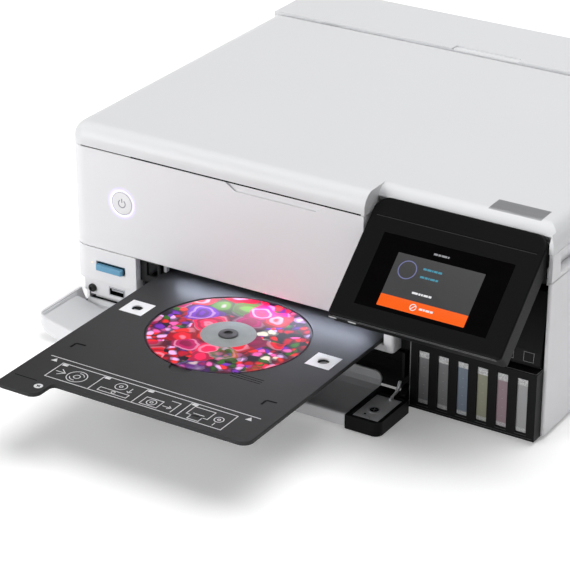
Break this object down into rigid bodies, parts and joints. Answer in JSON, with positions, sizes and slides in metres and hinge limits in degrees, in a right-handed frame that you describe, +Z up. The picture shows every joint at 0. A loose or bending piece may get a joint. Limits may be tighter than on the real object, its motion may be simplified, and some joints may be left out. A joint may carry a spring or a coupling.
{
  "type": "disc label printer",
  "caption": "Desktop inkjet printer with ink tanks, flatbed scanner and folded-down front cover, its printable-disc tray slid out with a disc on it.",
  "frame": {"origin": "centre of the outline, disc tray included, on the table plane", "axes": "+X to the right as seen from the front, +Y from the front to the back, +Z up"},
  "size_m": [0.403, 0.572, 0.162],
  "materials": {
    "white_shell": "fine satin moulded plastic, warm white",
    "lid_shell": "fine-grained satin plastic, pale grey white",
    "dark_trim": "dark grey fine-textured plastic",
    "black_shell": "black satin plastic",
    "panel_black": "black satin panel plastic",
    "tray_grey": "dark grey fine-textured plastic",
    "silver_liner": "silver grey satin plastic",
    "foot_rubber": "soft black rubber",
    "frame_steel": "zinc coated sheet steel",
    "rod_steel": "ground and polished steel",
    "board": "green circuit board with black parts",
    "socket_metal": "plated sheet steel",
    "motor_metal": "zinc coated can",
    "belt_rubber": "toothed belt",
    "roller_rubber": "matt rubber on a steel shaft",
    "tank_resin": "smoky translucent resin, ink behind it",
    "cap_plastic": "black caps",
    "light_ring": "translucent diffuser, lit",
    "button_white": "white satin plastic",
    "card_blue": "blue card with a pale edge",
    "pad_white": "white satin plastic",
    "hub_grey": "grey plastic",
    "disc_print": null,
    "black_glass": "black printed touch glass",
    "display": "display module",
    "bed_glass": "clear float glass",
    "pad_foam": "white pressing pad",
    "lens_bar": "black bar with a glass slit"
  },
  "bodies": {
    "housing": {"base_chassis": "dark_trim", "left_side_cover": "white_shell", "right_side_cover": "white_shell", "rear_housing": "white_shell", "front_fascia": "white_shell", "card_reader_housing": "white_shell", "slot_frame": "dark_trim", "slot_sill": "white_shell", "rubber_feet": "foot_rubber", "main_board": "board", "usb_port": "socket_metal", "power_inlet": "black_shell", "power_supply": "black_shell", "print_frame": "frame_steel", "guide_rod": "rod_steel", "platen": "black_shell", "drive_belt": "belt_rubber", "carriage_motor": "motor_metal", "feed_motor": "motor_metal", "tank_housing": "black_shell", "ink_tanks": "tank_resin", "button_light_ring": "light_ring", "button_board": "board"},
    "power_button": {"power_button": "button_white"},
    "memory_card": {"memory_card": "card_blue"},
    "disc_tray": {"disc_tray": "tray_grey", "disc_hub": "hub_grey", "registration_pads": "pad_white"},
    "disc": {"disc": "disc_print"},
    "output_stacker": {"output_stacker": "black_shell"},
    "photo_cassette": {"photo_cassette": "black_shell"},
    "paper_cassette": {"paper_cassette": "black_shell"},
    "front_cover": {"front_cover_shell": "white_shell", "front_cover_liner": "silver_liner", "front_cover_end": "black_shell", "cover_latch_plate": "silver_liner"},
    "tank_cover": {"tank_cover": "black_shell"},
    "tank_cap_1": {"tank_cap_1": "cap_plastic"},
    "tank_cap_2": {"tank_cap_2": "cap_plastic"},
    "tank_cap_3": {"tank_cap_3": "cap_plastic"},
    "tank_cap_4": {"tank_cap_4": "cap_plastic"},
    "tank_cap_5": {"tank_cap_5": "cap_plastic"},
    "tank_cap_6": {"tank_cap_6": "cap_plastic"},
    "control_panel": {"panel_bezel": "panel_black", "panel_back": "panel_black", "touch_glass": "black_glass", "lcd_module": "display"},
    "scanner_unit": {"panel_bracket": "dark_trim", "scanner_housing": "white_shell", "scanner_top_frame": "white_shell", "platen_glass": "bed_glass"},
    "scan_bar": {"scan_bar": "lens_bar"},
    "document_lid": {"document_lid": "lid_shell", "lid_pad": "pad_foam"},
    "carriage": {"carriage": "black_shell"},
    "drive_pulley": {"drive_pulley": "hub_grey"},
    "exit_roller": {"exit_roller": "roller_rubber"},
    "feed_roller": {"feed_roller": "roller_rubber"},
    "rear_feed_cover": {"rear_feed_cover": "lid_shell"}
  },
  "joints": [
    {"name": "panel_tilt", "type": "hinge", "parent": "scanner_unit", "child": "control_panel", "pos_m": [0.129, -0.07204, 0.14257], "axis": [1, 0, 0], "range_deg": [0, 32]},
    {"name": "scanner_unit_hinge", "type": "hinge", "parent": "housing", "child": "scanner_unit", "pos_m": [0, 0.2122, 0.16], "axis": [-1, 0, 0], "range_deg": [0, 30]},
    {"name": "lid_hinge", "type": "hinge", "parent": "scanner_unit", "child": "document_lid", "pos_m": [0, 0.2035, 0.15375], "axis": [-1, 0, 0], "range_deg": [0, 80]},
    {"name": "power_button_press", "type": "slide", "parent": "housing", "child": "power_button", "axis": [0, 1, 0], "range_m": [0, 0.0008], "stiffness_N_per_m": 1500, "springref_m": -0.0004},
    {"name": "memory_card_slide", "type": "slide", "parent": "housing", "child": "memory_card", "axis": [0, -1, 0], "range_m": [0, 0.032]},
    {"name": "disc_tray_slide", "type": "slide", "parent": "housing", "child": "disc_tray", "axis": [0, 1, 0], "range_m": [-0.06, 0.165]},
    {"name": "disc_lift", "type": "slide", "parent": "disc_tray", "child": "disc", "axis": [0, 0, 1], "range_m": [0, 0.008]},
    {"name": "output_stacker_slide", "type": "slide", "parent": "housing", "child": "output_stacker", "axis": [0, -1, 0], "range_m": [0, 0.11]},
    {"name": "photo_cassette_slide", "type": "slide", "parent": "housing", "child": "photo_cassette", "axis": [0, -1, 0], "range_m": [0, 0.14]},
    {"name": "paper_cassette_slide", "type": "slide", "parent": "housing", "child": "paper_cassette", "axis": [0, -1, 0], "range_m": [0, 0.2]},
    {"name": "front_cover_hinge", "type": "hinge", "parent": "housing", "child": "front_cover", "pos_m": [-0.05, -0.08, 0.008], "axis": [1, 0, 0], "range_deg": [-40, 0]},
    {"name": "tank_cover_hinge", "type": "hinge", "parent": "housing", "child": "tank_cover", "pos_m": [0.148, -0.0635, 0.1115], "axis": [-1, 0, 0], "range_deg": [0, 40]},
    {"name": "tank_cap_1_hinge", "type": "hinge", "parent": "housing", "child": "tank_cap_1", "pos_m": [0.1092, -0.04335, 0.06165], "axis": [-1, 0, 0], "range_deg": [0, 60]},
    {"name": "tank_cap_2_hinge", "type": "hinge", "parent": "housing", "child": "tank_cap_2", "pos_m": [0.12496, -0.04335, 0.06165], "axis": [-1, 0, 0], "range_deg": [0, 60]},
    {"name": "tank_cap_3_hinge", "type": "hinge", "parent": "housing", "child": "tank_cap_3", "pos_m": [0.14072, -0.04335, 0.06165], "axis": [-1, 0, 0], "range_deg": [0, 60]},
    {"name": "tank_cap_4_hinge", "type": "hinge", "parent": "housing", "child": "tank_cap_4", "pos_m": [0.15648, -0.04335, 0.06165], "axis": [-1, 0, 0], "range_deg": [0, 60]},
    {"name": "tank_cap_5_hinge", "type": "hinge", "parent": "housing", "child": "tank_cap_5", "pos_m": [0.17224, -0.04335, 0.06165], "axis": [-1, 0, 0], "range_deg": [0, 60]},
    {"name": "tank_cap_6_hinge", "type": "hinge", "parent": "housing", "child": "tank_cap_6", "pos_m": [0.188, -0.04335, 0.06165], "axis": [-1, 0, 0], "range_deg": [0, 60]},
    {"name": "scan_bar_slide", "type": "slide", "parent": "scanner_unit", "child": "scan_bar", "axis": [1, 0, 0], "range_m": [0, 0.34]},
    {"name": "carriage_slide", "type": "slide", "parent": "housing", "child": "carriage", "axis": [-1, 0, 0], "range_m": [0, 0.26]},
    {"name": "drive_pulley_spin", "type": "hinge", "parent": "housing", "child": "drive_pulley", "pos_m": [0.184, 0.085, 0.098], "axis": [0, 1, 0], "continuous": true},
    {"name": "exit_roller_spin", "type": "hinge", "parent": "housing", "child": "exit_roller", "pos_m": [-0.023, 0.014, 0.0459], "axis": [1, 0, 0], "continuous": true},
    {"name": "feed_roller_spin", "type": "hinge", "parent": "housing", "child": "feed_roller", "pos_m": [-0.023, 0.112, 0.0459], "axis": [1, 0, 0], "continuous": true},
    {"name": "rear_feed_cover_hinge", "type": "hinge", "parent": "housing", "child": "rear_feed_cover", "pos_m": [0, 0.28465, 0.16065], "axis": [-1, 0, 0], "range_deg": [0, 100]}
  ],
  "couplings": [
    {"joint": "drive_pulley_spin", "follows": "carriage_slide", "rad_per_m": 166.67},
    {"joint": "exit_roller_spin", "follows": "feed_roller_spin", "ratio": 1}
  ]
}
